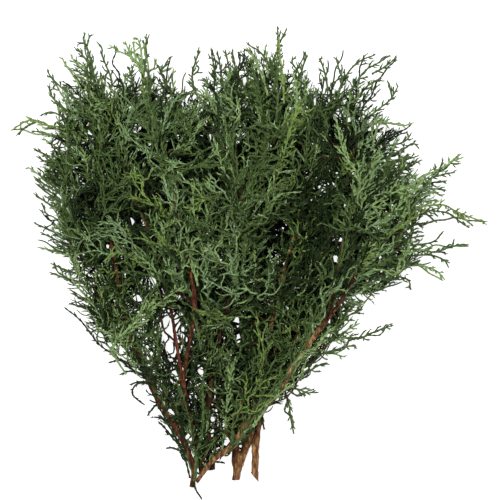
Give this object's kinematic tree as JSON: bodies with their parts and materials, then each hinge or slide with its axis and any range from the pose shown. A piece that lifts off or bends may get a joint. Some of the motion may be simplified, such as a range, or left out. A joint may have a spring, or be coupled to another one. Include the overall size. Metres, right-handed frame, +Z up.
{
  "type": "bunch of cut cypress branches",
  "caption": "Flat-lying fan of freshly cut cypress branches: bare woody stems crossing at the cut ends, feathery scale-leaf sprays spreading to a broad leafy top.",
  "frame": {"origin": "centre of the bounding box's underside, on the surface that the bunch lies on", "axes": "+X across the bunch, +Y from the cut ends to the tips, +Z up out of the surface it lies on"},
  "size_m": [0.472, 0.4545, 0.0941],
  "materials": {
    "bark_tan": "matt, fine lengthwise flakes and pale scars",
    "bark_red": "matt, reddish brown, smooth with fine flakes",
    "bark_dark": "matt, dark brown, rough",
    "foliage_green": "satin scale leaves, mid green",
    "foliage_blue_green": "satin scale leaves, blue-green",
    "foliage_yellow_green": "satin scale leaves, yellow-green",
    "foliage_deep_green": "satin scale leaves, deep green"
  },
  "bodies": {
    "root": {"stem_left": "bark_tan", "stem_mid_left": "bark_red", "bough_mid_left_back": "bark_red", "bough_mid_left_front": "bark_red", "stem_crossing": "bark_tan", "bough_right_front": "bark_red", "bough_right_outer": "bark_red", "stem_dark": "bark_dark", "stem_forked": "bark_tan", "bough_fork_left": "bark_tan", "bough_fork_right": "bark_tan", "stem_right": "bark_tan", "foliage_right_low": "foliage_green", "foliage_right_outer": "foliage_blue_green", "foliage_right_front": "foliage_blue_green", "foliage_centre_front": "foliage_blue_green", "foliage_mid_left_front": "foliage_green", "foliage_right_inner": "foliage_yellow_green", "foliage_mid_left_back": "foliage_yellow_green", "foliage_centre_low": "foliage_deep_green", "foliage_centre_foot": "foliage_deep_green", "foliage_centre_back": "foliage_green", "foliage_left_top": "foliage_green", "foliage_left_high": "foliage_green", "foliage_left_mid": "foliage_yellow_green", "foliage_left_low": "foliage_deep_green", "foliage_right_back": "foliage_deep_green"}
  },
  "joints": []
}
